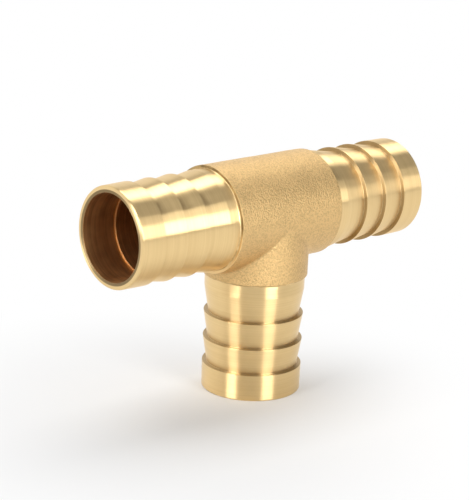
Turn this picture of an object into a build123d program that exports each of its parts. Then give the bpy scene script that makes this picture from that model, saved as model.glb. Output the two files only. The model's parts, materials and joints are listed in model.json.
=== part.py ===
from build123d import *
from math import isclose
import os

# A barbed tee for hose of 25 mm bore. A forged body carries three turned hose tails,
# each with a spigot that is brazed into a socket in the body.
# The branch stands on its free end at the origin, and the run lies along X above it.
# All sizes are in millimetres.

# Hose tail, listed from the body to the free end
crest_diameter = 26.0      # over the barbs and over the plain collar, so a hose clip sits level
collar_length = 3.0        # plain collar next to the body, on the run
root_length = 6.8          # taper from the collar down to the first barb
barb_pitch = 6.9
barb_count = 3
barb_depth = 1.15          # height of each sharp shoulder, which faces the body
nose_length = 7.0          # last barb to the free end
nose_step = 0.1            # how far the free end stands below the barbs
nose_round = 0.5
crest_chamfer = 0.12
valley_round = 0.3

# Bore
tail_wall = 1.15           # between the waterway and the bottom of the barbs
mouth_recess = 0.4         # the waterway opens out by this much at each mouth
mouth_recess_length = 10.0
mouth_chamfer = 0.2

# Joint between a tail and the body
spigot_wall = 1.2
spigot_length = 4.0
spigot_chamfer = 0.3
braze_clearance = 0.08     # between the spigot and its socket, all round
socket_end_clearance = 0.2
braze_film = 0.1           # between the collar and the end face of the body
braze_film_inset = 0.2     # the film stops this far outside the socket
braze_fillet = 0.25        # filler showing in the corner outside the collar
braze_hollow_radius = 0.4

# Body
run_shoulder = 0.9         # how far the run barrel stands out beyond the collar
branch_shoulder = 0.7
neck_length = 3.3          # run barrel beyond each side of the branch barrel
skirt_length = 2.6         # branch barrel below the run barrel
crotch_radius = 1.5
end_edge_round = 0.2

# Sizes that follow
crest_radius = crest_diameter / 2
valley_radius = crest_radius - barb_depth
nose_radius = crest_radius - nose_step
waterway_radius = valley_radius - tail_wall
mouth_radius = waterway_radius + mouth_recess
spigot_radius = waterway_radius + spigot_wall
socket_radius = spigot_radius + braze_clearance
socket_depth = spigot_length + socket_end_clearance
run_radius = crest_radius + run_shoulder
branch_radius = crest_radius + branch_shoulder

# Distances out along an arm, from the point where the run and branch axes cross.
# The barbs and free ends stand equally far out on all three arms.
run_reach = branch_radius + neck_length
branch_reach = run_radius + skirt_length
collar_end = run_reach + braze_film + collar_length
first_barb = collar_end + root_length
last_barb = first_barb + barb_pitch * (barb_count - 1)
arm_length = last_barb + nose_length

centre = Vector(0, 0, arm_length)
arms = {
    "run_left": (Vector(-1, 0, 0), run_reach),
    "run_right": (Vector(1, 0, 0), run_reach),
    "branch": (Vector(0, 0, -1), branch_reach),
}


def across(direction, distance):
    """A plane square to an arm, looking out along it, at a distance from the centre."""
    return Plane(origin=centre + direction * distance, z_dir=direction)


def lengthwise(direction):
    """A cut along the axis of an arm: x is the radius, y the distance from the centre."""
    return Plane(origin=centre, x_dir=(0, 1, 0), z_dir=Vector(0, 1, 0).cross(direction))


os.makedirs("parts", exist_ok=True)

# Forged body: a run barrel and a branch barrel, drilled from all three ends
with BuildPart() as tee_body:
    with BuildSketch(across(*arms["run_left"])):
        Circle(run_radius)
    extrude(amount=-2 * run_reach)
    with BuildSketch(across(*arms["branch"])):
        Circle(branch_radius)
    extrude(amount=-branch_reach)
    seams = tee_body.edges().filter_by(GeomType.CIRCLE, reverse=True)
    fillet(seams.filter_by(GeomType.LINE, reverse=True), crotch_radius)
    fillet(tee_body.faces().filter_by(GeomType.PLANE).edges(), end_edge_round)
    for direction, reach in arms.values():
        with Locations(across(direction, reach).location):
            CounterBoreHole(waterway_radius, socket_radius, socket_depth, depth=reach)

tee_body.part.label = "tee_body"
export_step(tee_body.part, "parts/tee_body.step")

for arm, (direction, reach) in arms.items():
    arm_axis = Axis(origin=centre, direction=direction)
    seat = reach + braze_film

    # Turned tail: spigot, collar, three barbs and a plain nose
    with BuildPart() as tail:
        with BuildSketch(lengthwise(direction)) as tail_section:
            with BuildLine():
                spigot_end = reach - spigot_length
                outline = [
                    (0, spigot_end),
                    (spigot_radius - spigot_chamfer, spigot_end),
                    (spigot_radius, spigot_end + spigot_chamfer),
                    (spigot_radius, seat),
                    (crest_radius, seat),
                    (crest_radius, collar_end),
                ]
                for barb in range(barb_count):
                    barb_distance = first_barb + barb * barb_pitch
                    outline.append((valley_radius, barb_distance))
                    outline.append((crest_radius, barb_distance))
                outline.append((nose_radius, arm_length))
                outline.append((0, arm_length))
                Polyline(outline, close=True)
            make_face()
            corners = tail_section.vertices()
            valleys = corners.filter_by(lambda corner: isclose(corner.X, valley_radius))
            fillet(valleys, valley_round)
            crests = corners.filter_by(
                lambda corner: isclose(corner.X, crest_radius) and corner.Y > collar_end + valley_round
            )
            chamfer(crests, crest_chamfer)
        revolve(axis=arm_axis)
        fillet(tail.faces().sort_by(arm_axis)[-1].edges(), nose_round)
        with Locations(across(direction, arm_length).location):
            CounterBoreHole(waterway_radius, mouth_radius, mouth_recess_length)
        rim = tail.faces().filter_by(GeomType.PLANE).sort_by(arm_axis)[-1]
        chamfer(rim.inner_wires()[0].edges(), mouth_chamfer)

    tail.part.label = f"{arm}_tail"
    export_step(tail.part, f"parts/{arm}_tail.step")

    # Ring of braze filler: a film under the collar and a hollow fillet outside it
    with BuildPart() as braze_ring:
        with BuildSketch(lengthwise(direction)):
            with BuildLine():
                film_radius = socket_radius + braze_film_inset
                toe_on_body = (crest_radius + braze_fillet, reach)
                toe_on_collar = (crest_radius, seat + braze_fillet)
                Polyline(
                    toe_on_collar,
                    (crest_radius, seat),
                    (film_radius, seat),
                    (film_radius, reach),
                    toe_on_body,
                )
                RadiusArc(toe_on_body, toe_on_collar, braze_hollow_radius)
            make_face()
        revolve(axis=arm_axis)

    braze_ring.part.label = f"{arm}_braze_ring"
    export_step(braze_ring.part, f"parts/{arm}_braze_ring.step")
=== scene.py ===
import json
import math

import bpy
import bmesh
from mathutils import Matrix, Vector, noise


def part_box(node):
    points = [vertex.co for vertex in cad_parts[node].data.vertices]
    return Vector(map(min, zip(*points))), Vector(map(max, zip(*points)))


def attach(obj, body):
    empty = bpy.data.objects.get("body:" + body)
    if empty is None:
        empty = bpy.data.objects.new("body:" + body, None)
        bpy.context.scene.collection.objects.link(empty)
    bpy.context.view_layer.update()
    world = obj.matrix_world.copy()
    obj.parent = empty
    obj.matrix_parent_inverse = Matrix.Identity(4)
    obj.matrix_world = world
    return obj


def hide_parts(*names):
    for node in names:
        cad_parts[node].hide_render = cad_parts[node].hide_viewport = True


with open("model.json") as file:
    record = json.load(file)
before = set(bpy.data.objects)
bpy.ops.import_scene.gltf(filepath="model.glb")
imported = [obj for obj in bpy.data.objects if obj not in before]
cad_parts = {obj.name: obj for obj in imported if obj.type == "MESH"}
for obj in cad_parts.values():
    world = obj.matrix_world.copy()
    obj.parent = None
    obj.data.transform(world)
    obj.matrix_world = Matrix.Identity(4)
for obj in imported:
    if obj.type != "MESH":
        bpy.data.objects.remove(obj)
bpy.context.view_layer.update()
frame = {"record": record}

scene = bpy.context.scene
mm = 0.001

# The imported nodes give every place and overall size
bodyLow, bodyHigh = (Vector(corner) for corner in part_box("tee_body"))
runLow, runHigh = (Vector(corner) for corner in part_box("run_left_tail"))
tailLow, tailHigh = (Vector(corner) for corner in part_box("branch_tail"))
ringLow, ringHigh = (Vector(corner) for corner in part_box("branch_braze_ring"))
mounts = {mount["name"]: mount for mount in frame["record"]["mounts"]}

centre = Vector((0, 0, (runLow.z + runHigh.z) / 2))
runRadius = bodyHigh.z - centre.z
runReach = bodyHigh.x                           # centre of the tee to an end face of the body
branchReach = centre.z - bodyLow.z
armLength = centre.z - tailLow.z                # centre of the tee to a free end
crestRadius = tailHigh.x
spigotLength = tailHigh.z - bodyLow.z
mouthRadius = mounts["branch_mouth"]["dims"]["r_mm"] * mm
fillerRadius = ringHigh.x
fillerHeight = ringHigh.z - ringLow.z
arms = {
    "run_left": (Vector((-1, 0, 0)), runReach),
    "run_right": (Vector((1, 0, 0)), runReach),
    "branch": (Vector((0, 0, -1)), branchReach),
}
print("frame loaded, tee centre at", round(centre.z / mm, 2), "mm")


# Shader helpers

class Wire:
    # One output socket. Python arithmetic on it adds Math nodes.
    def __init__(self, tree, socket):
        self.tree = tree
        self.socket = socket

    def maths(self, operation, *values):
        node = self.tree.nodes.new("ShaderNodeMath")
        node.operation = operation
        for number, value in enumerate(values):
            plug(self.tree, node.inputs[number], value)
        return Wire(self.tree, node.outputs[0])

    def __add__(self, other):
        return self.maths("ADD", self, other)

    def __radd__(self, other):
        return self.maths("ADD", other, self)

    def __sub__(self, other):
        return self.maths("SUBTRACT", self, other)

    def __rsub__(self, other):
        return self.maths("SUBTRACT", other, self)

    def __mul__(self, other):
        return self.maths("MULTIPLY", self, other)

    def __rmul__(self, other):
        return self.maths("MULTIPLY", other, self)


def plug(tree, socket, value):
    if isinstance(value, Wire):
        tree.links.new(value.socket, socket)
    elif hasattr(value, "__len__") and len(value) == 3 and socket.type == "RGBA":
        socket.default_value = (*value, 1)
    else:
        socket.default_value = value


class Nodes:
    def __init__(self, tree):
        self.tree = tree
        tree.nodes.clear()

    def add(self, kind, settings=None, sockets=None, out=0):
        node = self.tree.nodes.new(kind)
        for name, value in (settings or {}).items():
            setattr(node, name, value)
        for name, value in (sockets or {}).items():
            plug(self.tree, node.inputs[name], value)
        return Wire(self.tree, node.outputs[out]) if len(node.outputs) else node

    def blend(self, factor, first, second):
        return self.add(
            "ShaderNodeMix", {"data_type": "RGBA"}, {0: factor, 6: first, 7: second}, out=2)

    def fade(self, value, low, high):
        return self.add(
            "ShaderNodeMapRange", {"interpolation_type": "SMOOTHSTEP"},
            {"Value": value, "From Min": low, "From Max": high})

    def place(self, coordinates="Object"):
        return self.add("ShaderNodeTexCoord", out=coordinates)

    def part(self, vector, letter):
        return self.add("ShaderNodeSeparateXYZ", {}, {"Vector": vector}, out=letter)

    def vectorMaths(self, operation, first, second=(0, 0, 0), out="Vector"):
        return self.add("ShaderNodeVectorMath", {"operation": operation}, {0: first, 1: second}, out)

    def stretched(self, stretch):
        return self.add("ShaderNodeMapping", {}, {"Vector": self.place(), "Scale": stretch})

    def cloudy(self, scale, detail, stretch=(1, 1, 1), roughness=0.5):
        return self.add("ShaderNodeTexNoise", {}, {
            "Vector": self.stretched(stretch),
            "Scale": scale, "Detail": detail, "Roughness": roughness})

    def toolLines(self, width, wander):
        # Lines round the piece's own Z, which change slowly on their way round
        return self.cloudy(1.0, 2.0, (wander, wander, 0.5 / width))

    def bump(self, height, distance):
        return self.add("ShaderNodeBump", {}, {
            "Strength": 1.0, "Distance": distance, "Height": height})


def newMaterial(name):
    material = bpy.data.materials.new(name)
    material.use_nodes = True
    return material, Nodes(material.node_tree)


def finishMaterial(nodes, sockets):
    shader = nodes.add("ShaderNodeBsdfPrincipled", {}, sockets)
    nodes.add("ShaderNodeOutputMaterial", {}, {"Surface": shader})


# Forged and blasted skin of the body

forgedSkin = {
    "light": (0.775, 0.535, 0.245),
    "dark": (0.60, 0.405, 0.180),
    "grain": 0.25 * mm,        # size of one pit
    "grainDepth": 0.09 * mm,
    "pitEdges": (0.32, 0.68),  # the noise between which a pit goes from floor to rim
    "pitShare": 0.65,          # of the grain, and the rest is specks
    "toneEdges": (0.1, 0.75),
    "cloudScale": 160.0,
    "cloudTone": 0.35,
    "roughness": 0.42,
    "cloudRoughness": 0.1,
}


def forgedBrass():
    look = forgedSkin
    material, nodes = newMaterial("forgedBrass")
    pits = nodes.cloudy(0.5 / look["grain"], 3.0, roughness=0.7)
    specks = nodes.add("ShaderNodeTexVoronoi", {}, {
        "Vector": nodes.place(), "Scale": 1 / look["grain"]})
    cloud = nodes.cloudy(look["cloudScale"], 2.0)
    grain = nodes.fade(pits, *look["pitEdges"]) * look["pitShare"] + specks * (1 - look["pitShare"])
    tone = nodes.fade(grain + (cloud - 0.5) * look["cloudTone"], *look["toneEdges"])
    finishMaterial(nodes, {
        "Base Color": nodes.blend(tone, look["dark"], look["light"]),
        "Metallic": 1.0,
        "Roughness": look["roughness"] + cloud * look["cloudRoughness"],
        "Normal": nodes.bump(grain, look["grainDepth"]),
    })
    return material


# Turned faces of the tails

turnedSkin = {
    "light": (0.94, 0.695, 0.350),
    "dark": (0.85, 0.610, 0.290),
    # brown of the painted shade in the corners and on the shoulders that face the body
    "paintedShade": (0.38, 0.27, 0.14),
    "line": 0.16 * mm,         # width of one tool line
    "lineDepth": 0.0011 * mm,
    "lineWander": 18,
    "band": 0.7143 * mm,       # width of the broader bands of tone
    "bandWander": 25,
    "cloudScale": 120.0,
    "toneShares": (0.45, 0.35, 0.2),            # of the lines, the bands and the cloud
    "toneEdges": (0.3, 0.7),
    "roughness": 0.31,
    "lineRoughness": 0.05,
    "bandRoughness": 0.06,
    "anisotropic": 1.0,
    "rotation": 0.25,          # highlights run along the tail
    "shoulderFacing": (0.35, 0.85),             # how squarely a shoulder with painted shade faces the body
    # how dark the painted shade on those shoulders is
    "shoulderShade": 0.6,
    "cornerDepth": (1.06 * mm, 1.17 * mm),      # below the crests, where the corners get painted shade
    # how far the painted shade goes towards that brown, and how much rougher the shaded places are
    "paintedShadeStrength": 0.85,
    "paintedShadeRoughness": 0.3,
}


def turnedBrass():
    look = turnedSkin
    material, nodes = newMaterial("turnedBrass")
    lines = nodes.toolLines(look["line"], look["lineWander"])
    bands = nodes.toolLines(look["band"], look["bandWander"])
    cloud = nodes.cloudy(look["cloudScale"], 3.0)
    lineShare, bandShare, cloudShare = look["toneShares"]
    tone = nodes.fade(
        lines * lineShare + bands * bandShare + cloud * cloudShare, *look["toneEdges"])
    bright = nodes.blend(tone, look["dark"], look["light"])
    # Painted shade darkens the corners below the barbs and the shoulders that face the body towards
    # a brown
    shoulder = nodes.fade(0 - nodes.part(nodes.place("Normal"), "Z"), *look["shoulderFacing"])
    flat = nodes.vectorMaths("MULTIPLY", nodes.place(), (1, 1, 0))
    radius = nodes.vectorMaths("LENGTH", flat, out="Value")
    corner = nodes.fade(crestRadius - radius, *look["cornerDepth"])
    darkening = nodes.add("ShaderNodeMath", {"operation": "MAXIMUM"}, {
        0: shoulder * look["shoulderShade"], 1: corner})
    finishMaterial(nodes, {
        "Base Color": nodes.blend(darkening * look["paintedShadeStrength"], bright, look["paintedShade"]),
        "Metallic": 1.0,
        "Roughness": (
            look["roughness"] + (lines - 0.5) * look["lineRoughness"]
            + (bands - 0.5) * look["bandRoughness"] + darkening * look["paintedShadeRoughness"]),
        "Anisotropic": look["anisotropic"],
        "Anisotropic Rotation": look["rotation"],
        "Normal": nodes.bump(lines, look["lineDepth"]),
    })
    return material


# Drilled inside of the tails and the body

boreSkin = {
    "light": (0.72, 0.42, 0.18),
    "dark": (0.42, 0.21, 0.08),
    "line": 0.3 * mm,
    "lineDepth": 0.01 * mm,
    "lineWander": 60,
    "cloudScale": 150.0,
    "toneEdges": (0.3, 0.7),
    "roughness": 0.42,
    "cloudRoughness": 0.15,
}


def drilledBore():
    look = boreSkin
    material, nodes = newMaterial("drilledBore")
    lines = nodes.toolLines(look["line"], look["lineWander"])
    cloud = nodes.cloudy(look["cloudScale"], 4.0)
    tone = nodes.fade(lines * 0.5 + cloud * 0.5, *look["toneEdges"])
    finishMaterial(nodes, {
        "Base Color": nodes.blend(tone, look["dark"], look["light"]),
        "Metallic": 1.0,
        "Roughness": look["roughness"] + cloud * look["cloudRoughness"],
        "Normal": nodes.bump(lines, look["lineDepth"]),
    })
    return material


# Braze filler

fillerSkin = {
    "light": (0.88, 0.66, 0.34),
    "dark": (0.62, 0.42, 0.18),
    "cloudScale": 500.0,
    "cloudDepth": 0.01 * mm,
    "toneEdges": (0.3, 0.7),
    "roughness": 0.34,
    "cloudRoughness": 0.2,
}


def brazeFiller():
    look = fillerSkin
    material, nodes = newMaterial("brazeFiller")
    cloud = nodes.cloudy(look["cloudScale"], 3.0)
    tone = nodes.fade(cloud, *look["toneEdges"])
    finishMaterial(nodes, {
        "Base Color": nodes.blend(tone, look["dark"], look["light"]),
        "Metallic": 1.0,
        "Roughness": look["roughness"] + (cloud - 0.5) * look["cloudRoughness"],
        "Normal": nodes.bump(cloud, look["cloudDepth"]),
    })
    return material


# End faces of the body, painted brown: on the run's ends as painted shade that deepens towards the
# top, and on the branch's end all round

seamSkin = {
    "light": (0.50, 0.36, 0.17),
    "dark": (0.26, 0.18, 0.08),
    # colour of the end faces where no shade is painted
    "unshaded": (0.90, 0.65, 0.32),
    "cloudScale": 300.0,
    "toneEdges": (0.35, 0.7),
    # Heights above the tee's centre between which the painted shade on the run's ends fades in,
    # darker towards the top, and depths below it between which the branch's end turns brown
    "runPaintedShade": (-3.0 * mm, 1.0 * mm),
    "branchBrown": (14.0 * mm, 15.0 * mm),
    "roughness": 0.45,
    "cloudRoughness": 0.1,
}


def brownSeam():
    look = seamSkin
    material, nodes = newMaterial("brownSeam")
    cloud = nodes.cloudy(look["cloudScale"], 3.0)
    brown = nodes.blend(nodes.fade(cloud, *look["toneEdges"]), look["dark"], look["light"])
    height = nodes.part(nodes.place(), "Z")
    # painted shade on the run's ends, rising towards the top, and brown all round the branch's end
    darkening = nodes.fade(height, *look["runPaintedShade"]) + nodes.fade(0 - height, *look["branchBrown"])
    finishMaterial(nodes, {
        "Base Color": nodes.blend(darkening, look["unshaded"], brown),
        "Metallic": 1.0,
        "Roughness": look["roughness"] + cloud * look["cloudRoughness"],
    })
    return material


finishes = {
    "forged": forgedBrass(),
    "turned": turnedBrass(),
    "bore": drilledBore(),
    "filler": brazeFiller(),
    "seam": brownSeam(),
}
print("materials made")


# Mesh helpers

weldDistance = 0.0005 * mm


def newPiece(name, points, faces, materials, faceFinish=None, sharpAngle=None):
    mesh = bpy.data.meshes.new(name)
    mesh.from_pydata(points, [], faces)
    work = bmesh.new()
    work.from_mesh(mesh)
    bmesh.ops.remove_doubles(work, verts=work.verts, dist=weldDistance)
    bmesh.ops.recalc_face_normals(work, faces=work.faces)
    for face in work.faces:
        face.smooth = True
        if faceFinish:
            face.material_index = faceFinish(face.calc_center_median())
    work.to_mesh(mesh)
    work.free()
    if sharpAngle:
        mesh.set_sharp_from_angle(angle=math.radians(sharpAngle))
    for material in materials:
        mesh.materials.append(material)
    piece = bpy.data.objects.new(name, mesh)
    scene.collection.objects.link(piece)
    return piece


def softened(corners, steps=5, holding=0.04 * mm):
    # A closed outline of (radius, height, edge round) with an arc at each corner and
    # a point close beside each arc, so that the flats between them shade flat
    outline = []
    for index, (radius, height, edge) in enumerate(corners):
        here = Vector((radius, height))
        before = Vector(corners[index - 1][:2]) - here
        after = Vector(corners[(index + 1) % len(corners)][:2]) - here
        backLength, onLength = before.length, after.length
        before.normalize()
        after.normalize()
        half = before.angle(after) / 2
        setBack = edge / math.tan(half)
        pivot = here + (before + after).normalized() * (edge / math.sin(half))
        first = here + before * setBack - pivot
        turn = math.pi - 2 * half
        side = 1 if before.x * after.y - before.y * after.x < 0 else -1
        if backLength > setBack + 3 * holding:
            outline.append(here + before * (setBack + holding))
        for step in range(steps + 1):
            spin = Matrix.Rotation(side * turn * step / steps, 2)
            outline.append(pivot + spin @ first)
        if onLength > setBack + 3 * holding:
            outline.append(here + after * (setBack + holding))
    return outline


def turns(segments):
    return [2 * math.pi * step / segments for step in range(segments)]


def lathe(outline, segments):
    points = []
    for turn in turns(segments):
        for place in outline:
            points.append((place.x * math.cos(turn), place.x * math.sin(turn), place.y))
    faces = []
    rows = len(outline)
    for step in range(segments):
        here, there = step * rows, (step + 1) % segments * rows
        for row in range(rows):
            onward = (row + 1) % rows
            faces.append((here + row, there + row, there + onward, here + onward))
    return points, faces


def turnedTo(direction, place):
    # The place and turn of something made about its own Z
    return Matrix.Translation(place) @ direction.to_track_quat("Z", "Y").to_matrix().to_4x4()


# Hose tails, made with z = 0 at the centre of the tee

tail = {
    "collar": 20.1 * mm,       # centre of the tee to the end of the plain collar
    "firstBarb": 26.9 * mm,
    "pitch": 6.9 * mm,
    "barbs": 3,
    "barbDepth": 1.15 * mm,
    "noseStep": 0.1 * mm,
    "noseRound": 0.5 * mm,
    "crestRound": 0.1 * mm,
    "valleyRound": 0.2 * mm,
    "edgeRound": 0.06 * mm,
    "seat": 0.1 * mm,          # film of filler under the collar
    "mouthStep": 0.4 * mm,
    "stepRound": 0.03 * mm,
    "mouthDepth": 10.0 * mm,
    "mouthRound": 0.2 * mm,
    "spigotWall": 1.2 * mm,
    "spigotRound": 0.18 * mm,
    "boreMargin": 0.03 * mm,
    "segments": 256,
}
waterwayRadius = mouthRadius - tail["mouthStep"]
spigotRadius = waterwayRadius + tail["spigotWall"]


def tailCorners(reach):
    valleyRadius = crestRadius - tail["barbDepth"]
    edge = tail["edgeRound"]
    spigotEnd = reach - spigotLength
    seat = reach + tail["seat"]
    corners = [
        (waterwayRadius, spigotEnd, edge),
        (spigotRadius, spigotEnd, tail["spigotRound"]),
        (spigotRadius, seat, edge),
        (crestRadius, seat, edge),
        (crestRadius, tail["collar"], tail["valleyRound"]),
    ]
    for barb in range(tail["barbs"]):
        height = tail["firstBarb"] + barb * tail["pitch"]
        corners.append((valleyRadius, height, tail["valleyRound"]))
        corners.append((crestRadius, height, tail["crestRound"]))
    mouthFloor = armLength - tail["mouthDepth"]
    corners += [
        (crestRadius - tail["noseStep"], armLength, tail["noseRound"]),
        (mouthRadius, armLength, tail["mouthRound"]),
        (mouthRadius, mouthFloor, edge),
        (waterwayRadius, mouthFloor, tail["stepRound"]),
    ]
    return corners


def tailFinish(place):
    # 0 is the turned outside, 1 the bore
    return 1 if math.hypot(place.x, place.y) < mouthRadius + tail["boreMargin"] else 0


for arm, (direction, reach) in arms.items():
    points, faces = lathe(softened(tailCorners(reach)), tail["segments"])
    piece = newPiece(
        arm + "_hose_tail", points, faces, [finishes["turned"], finishes["bore"]], tailFinish)
    piece.matrix_world = turnedTo(direction, centre)
    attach(piece, "root")
    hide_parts(arm + "_tail")
print("hose tails made")


# Rings of braze filler

filler = {
    "filmInset": 0.2 * mm,
    "socketClearance": 0.08 * mm,
    "hollow": 0.05 * mm,       # how far the bead's face is drawn in
    "wander": 0.05 * mm,       # how unevenly the filler has flowed
    "lumps": 420.0,            # in a metre
    "steps": 8,
    "segments": 256,
    "sharpAngle": 40,
}
socketRadius = spigotRadius + filler["socketClearance"]


def fillerOutline(reach):
    seat = reach + tail["seat"]
    inside = socketRadius + filler["filmInset"]
    outline = [Vector((inside, seat)), Vector((inside, reach))]
    start = Vector((fillerRadius, reach))
    end = Vector((crestRadius, reach + fillerHeight))
    inward = Vector((-1, -1)).normalized() * filler["hollow"]
    for step in range(filler["steps"] + 1):
        share = step / filler["steps"]
        outline.append(start.lerp(end, share) + inward * math.sin(math.pi * share))
    outline.append(Vector((crestRadius, seat)))
    return outline


def makeUneven(piece):
    # The points on the tail stay put, and what stands out from it has flowed unevenly
    for vertex in piece.data.vertices:
        outward = Vector((vertex.co.x, vertex.co.y, 0))
        share = (outward.length - crestRadius) / (fillerRadius - crestRadius)
        if share > 0.01:
            flow = noise.noise(piece.matrix_world @ vertex.co * filler["lumps"]) - 1
            vertex.co += outward.normalized() * flow * share * filler["wander"]


for arm, (direction, reach) in arms.items():
    points, faces = lathe(fillerOutline(reach), filler["segments"])
    piece = newPiece(
        arm + "_filler_ring", points, faces, [finishes["filler"]], sharpAngle=filler["sharpAngle"])
    piece.matrix_world = turnedTo(direction, centre)
    makeUneven(piece)
    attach(piece, "root")
    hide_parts(arm + "_braze_ring")
print("filler rings made")


# Forged body

body = {
    "crotchRound": 1.5 * mm,
    "endRound": 0.2 * mm,
    "branchInset": 0.2 * mm,   # the branch barrel is this much slimmer than the run barrel
    "spigotGap": 0.2 * mm,     # between a spigot's end and the floor of its socket
    "around": 320,             # columns round the branch, a multiple of 8
    "wrap": 110,               # how far up the run barrel, in degrees, the branch's columns reach
    "topRows": 56,
    "wallRows": 8,
    "arcRows": 8,
    "runRows": 20,
    "boreRows": 16,
    "endSteps": 6,
    "holding": 0.05 * mm,      # rows this close to an end face's edges keep it flat
    "boreMargin": 0.02 * mm,   # slack in telling the inside from the end faces
    "endMargin": 0.01 * mm,
    "seamDepth": 0.12 * mm,    # how far the brown of the end faces comes round the end edge
    "sharpAngle": 35,
    "forgingSink": 0.07 * mm,  # unevenness of the forging
    "forgingWave": 260.0,      # waves in a metre
}
eighth = body["around"] // 8
wrapAngle = math.radians(body["wrap"])
socketDepth = spigotLength + body["spigotGap"]


def onRun(x, angle, radius):
    return Vector((x, radius * math.sin(angle), -radius * math.cos(angle)))


def sideAngles():
    # Angles round the run at which the columns of the branch meet the run's end
    return [
        wrapAngle * math.tan(2 * math.pi * step / body["around"])
        for step in range(-eighth, eighth + 1)]


def topAngles():
    span = 2 * math.pi - 2 * wrapAngle
    return [wrapAngle + span * step / body["topRows"] for step in range(body["topRows"] + 1)]


class Skin:
    def __init__(self):
        self.points = []
        self.faces = []

    def sheet(self, rows, closed=False):
        # rows are equally long lists of points
        start, width = len(self.points), len(rows[0])
        for row in rows:
            self.points += row
        for rowNumber in range(len(rows) - 1):
            near = start + rowNumber * width
            far = near + width
            for column in range(width if closed else width - 1):
                onward = (column + 1) % width
                self.faces.append((near + column, near + onward, far + onward, far + column))


def crossing(skin, run, branch, edge, runEnd, branchEnd, runRows):
    # The skin where a branch barrel meets the run barrel, with a rolled inside corner
    columns = []
    wallRows, arcRows = body["wallRows"], body["arcRows"]
    for turn in turns(body["around"]):
        u, v = math.cos(turn), math.sin(turn)
        drop = math.sqrt(max(0, (run + edge) ** 2 - ((branch + edge) * v) ** 2))
        ball = Vector(((branch + edge) * u, (branch + edge) * v, -drop))
        onBranch = Vector((branch * u, branch * v, -drop))
        share = run / (run + edge)
        touch = Vector((ball.x, ball.y * share, ball.z * share))
        foot = Vector((branch * u, branch * v, -branchEnd))
        column = [foot.lerp(onBranch, row / wallRows) for row in range(wallRows)]
        if edge:
            first, last = (onBranch - ball).normalized(), (touch - ball).normalized()
            column += [ball + first.slerp(last, row / arcRows) * edge for row in range(arcRows + 1)]
        else:
            column.append(onBranch)
        angle = math.atan2(touch.y, -touch.z)
        stretch = 1 / max(abs(u), abs(v))
        for row in range(1, runRows + 1):
            along = row / runRows
            x = touch.x + (runEnd * u * stretch - touch.x) * along
            column.append(onRun(x, angle + (wrapAngle * v * stretch - angle) * along, run))
        columns.append(column)
    skin.sheet(
        [[column[row] for column in columns] for row in range(len(columns[0]))], closed=True)
    places = [
        runEnd / math.tan(2 * math.pi * step / body["around"])
        for step in range(eighth, 3 * eighth + 1)]
    skin.sheet([[onRun(x, angle, run) for x in places] for angle in topAngles()])


def endRings(skin, runSections, branchSections):
    ringAngles = sideAngles() + topAngles()[1:-1]
    for side in (1, -1):
        skin.sheet(
            [[onRun(side * reach, angle, radius) for angle in ringAngles]
             for radius, reach in runSections],
            closed=True)
    skin.sheet(
        [[Vector((radius * math.cos(turn), radius * math.sin(turn), -reach))
          for turn in turns(body["around"])]
         for radius, reach in branchSections],
        closed=True)


def endSections(radius, reach):
    # (radius, height) from the barrel round its end edge, over the end face and down the socket
    edge = body["endRound"]
    sections = []
    for step in range(body["endSteps"] + 1):
        angle = math.pi / 2 * step / body["endSteps"]
        sections.append(
            (radius - edge + edge * math.cos(angle), reach - edge + edge * math.sin(angle)))
    floor = reach - socketDepth
    sections += [
        (radius - edge - body["holding"], reach),
        (socketRadius + body["holding"], reach),
        (socketRadius, reach),
        (socketRadius, floor),
        (waterwayRadius, floor),
    ]
    return sections


def isInside(place):
    wide = socketRadius + body["boreMargin"]
    inRun = math.hypot(place.y, place.z) < wide and abs(place.x) < runReach - body["endMargin"]
    inBranch = math.hypot(place.x, place.y) < wide and -branchReach < place.z < 0
    return inRun or inBranch


def bodyFinish(place):
    # 0 is the forged skin, 1 the bore, 2 the brown ends
    if isInside(place):
        return 1
    seamDepth = body["seamDepth"]
    atEnd = abs(place.x) > runReach - seamDepth or place.z < seamDepth - branchReach
    return 2 if atEnd else 0


def makeBody():
    skin = Skin()
    branchRadius = runRadius - body["branchInset"]
    edge = body["endRound"]
    crossing(
        skin, runRadius, branchRadius, body["crotchRound"],
        runReach - edge, branchReach - edge, body["runRows"])
    crossing(
        skin, waterwayRadius, waterwayRadius, 0,
        runReach - socketDepth, branchReach - socketDepth, body["boreRows"])
    endRings(skin, endSections(runRadius, runReach), endSections(branchRadius, branchReach))
    piece = newPiece(
        "forged_tee_body", skin.points, skin.faces,
        [finishes["forged"], finishes["bore"], finishes["seam"]], bodyFinish, body["sharpAngle"])
    normals = [vertex.normal.copy() for vertex in piece.data.vertices]
    for vertex, normal in zip(piece.data.vertices, normals):
        if not isInside(vertex.co):
            wave = 0.5 + 0.5 * noise.noise(vertex.co * body["forgingWave"])
            vertex.co -= normal * body["forgingSink"] * max(0, min(1, wave))
    piece.location = centre
    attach(piece, "root")
    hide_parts("tee_body")


makeBody()
print("forged body made")


# Camera

view = {
    "azimuth": -41.594,
    "elevation": 16.138,
    "roll": 2.22,
    "across": 5.9 * mm,        # tee centre from the middle of the frame
    "above": 10.3 * mm,
    "distance": 506.7 * mm,
    "lens": 141.8,
    "sensor": 36,
}
viewTurn, viewRise, viewRoll = (math.radians(view[key]) for key in ("azimuth", "elevation", "roll"))
viewLevel = Vector((math.cos(viewTurn), math.sin(viewTurn), 0))


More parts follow.
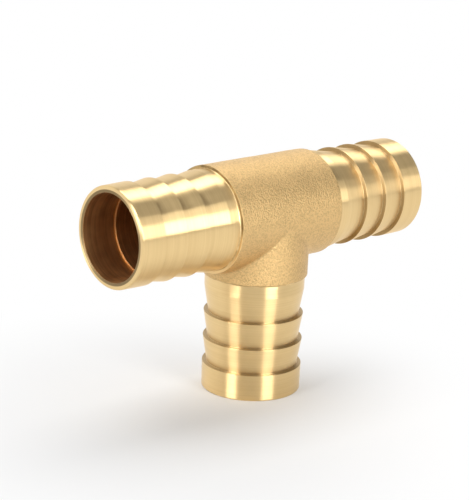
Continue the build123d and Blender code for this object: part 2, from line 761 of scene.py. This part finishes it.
def makeCamera():
    back = Vector((
        math.sin(viewTurn) * math.cos(viewRise), -math.cos(viewTurn) * math.cos(viewRise),
        math.sin(viewRise)))
    upright = back.cross(viewLevel)
    right = math.cos(viewRoll) * viewLevel + math.sin(viewRoll) * upright
    up = math.cos(viewRoll) * upright - math.sin(viewRoll) * viewLevel
    data = bpy.data.cameras.new("camera")
    data.lens = view["lens"]
    data.sensor_width = view["sensor"]
    camera = bpy.data.objects.new("camera", data)
    scene.collection.objects.link(camera)
    axes = Matrix((right, up, back)).transposed().to_4x4()
    place = centre - right * view["across"] - up * view["above"] + back * view["distance"]
    camera.matrix_world = Matrix.Translation(place) @ axes
    scene.camera = camera


makeCamera()
scene.view_settings.view_transform = "Standard"
print("camera set")


# Stage

stage = {
    "rings": (0.0, 0.05, 0.2, 0.6, 1.6),
    "segments": 64,
    # painted shade: the floor's own colour is darker on the left and lighter on the right
    "floorLeft": (0.65, 0.65, 0.65),
    "floorRight": (0.90, 0.90, 0.90),
    "acrossEdges": (-0.01, 0.12),       # the places between which the floor's painted shade turns from the left colour to the right one
    "middle": (-0.03, -0.015, 0),       # of the patch of floor that keeps its own shade
    "patchEdges": (0.005, 0.10),        # the distances between which it turns plain white
}

room = {
    "front": (0.30, 0.30, 0.30),        # dimmer in front and overhead
    "back": (0.76, 0.76, 0.76),         # pale paper behind the tee
    "tilt": 0.6,                        # how soon the paper ends towards the top
    "edges": (0.0, 0.5),
}

lamps = {
    # the middle of each softbox and the point it faces, its width and height, and its brightness
    "overhead": ((0.25, 0.25, 0.90), (0.25, 0.25, 0.0), 1.50, 0.46, 2.9),
    "front_low": ((-0.02, -0.90, 0.325), (-0.02, 0.0, 0.325), 0.42, 0.45, 8.7),
    "front_high": ((-0.02, -0.90, 0.79), (-0.02, 0.0, 0.79), 0.42, 0.48, 3.4),
    "left": ((-0.90, -0.06, 0.48), (0.0, -0.06, 0.48), 0.36, 0.80, 9.0),
}


def makeFloor():
    skin = Skin()
    skin.sheet(
        [[Vector((radius * math.cos(turn), radius * math.sin(turn), 0))
          for turn in turns(stage["segments"])]
         for radius in stage["rings"]],
        closed=True)
    material, nodes = newMaterial("studioFloor")
    place = nodes.place()
    across = nodes.vectorMaths("DOT_PRODUCT", place, tuple(viewLevel), "Value")
    # painted shade across the floor, darker towards the left
    shade = nodes.fade(across, *stage["acrossEdges"])
    paper = nodes.add("ShaderNodeBsdfDiffuse", {}, {
        "Color": nodes.blend(shade, stage["floorLeft"], stage["floorRight"])})
    white = nodes.add("ShaderNodeEmission", {}, {"Color": (1, 1, 1), "Strength": 1.0})
    seen = nodes.add("ShaderNodeLightPath", out="Is Camera Ray")
    mirrored = nodes.add("ShaderNodeLightPath", out="Is Glossy Ray")
    away = nodes.vectorMaths("DISTANCE", place, stage["middle"], "Value")
    share = nodes.fade(away, *stage["patchEdges"])
    both = nodes.add("ShaderNodeMixShader", {}, {
        0: (seen + mirrored) * share, 1: paper, 2: white})
    nodes.add("ShaderNodeOutputMaterial", {}, {"Surface": both})
    floor = newPiece("studio_floor", skin.points, skin.faces, [material])
    if floor.data.polygons[0].normal.z < 0:
        floor.data.flip_normals()


def makeWorld():
    world = bpy.data.worlds.new("studio")
    world.use_nodes = True
    scene.world = world
    nodes = Nodes(world.node_tree)
    aim = nodes.place("Generated")
    backdrop = nodes.fade(
        nodes.part(aim, "Y") - nodes.part(aim, "Z") * room["tilt"], *room["edges"])
    seen = nodes.add("ShaderNodeLightPath", out="Is Camera Ray")
    mirrored = nodes.add("ShaderNodeLightPath", out="Is Glossy Ray")
    walls = nodes.blend(backdrop, room["front"], room["back"])
    colour = nodes.blend(seen + mirrored * backdrop, walls, (1, 1, 1))
    sky = nodes.add("ShaderNodeBackground", {}, {"Color": colour, "Strength": 1.0})
    nodes.add("ShaderNodeOutputWorld", {}, {"Surface": sky})


def softbox(name, middle, target, width, height, brightness):
    middle, target = Vector(middle), Vector(target)
    data = bpy.data.lights.new(name + "_softbox", "AREA")
    data.shape = "RECTANGLE"
    data.size = width
    data.size_y = height
    data.energy = brightness * math.pi * width * height
    lamp = bpy.data.objects.new(name + "_softbox", data)
    scene.collection.objects.link(lamp)
    lamp.matrix_world = turnedTo(middle - target, middle)


makeFloor()
makeWorld()
for name, values in lamps.items():
    softbox(name, *values)
print("stage lit")
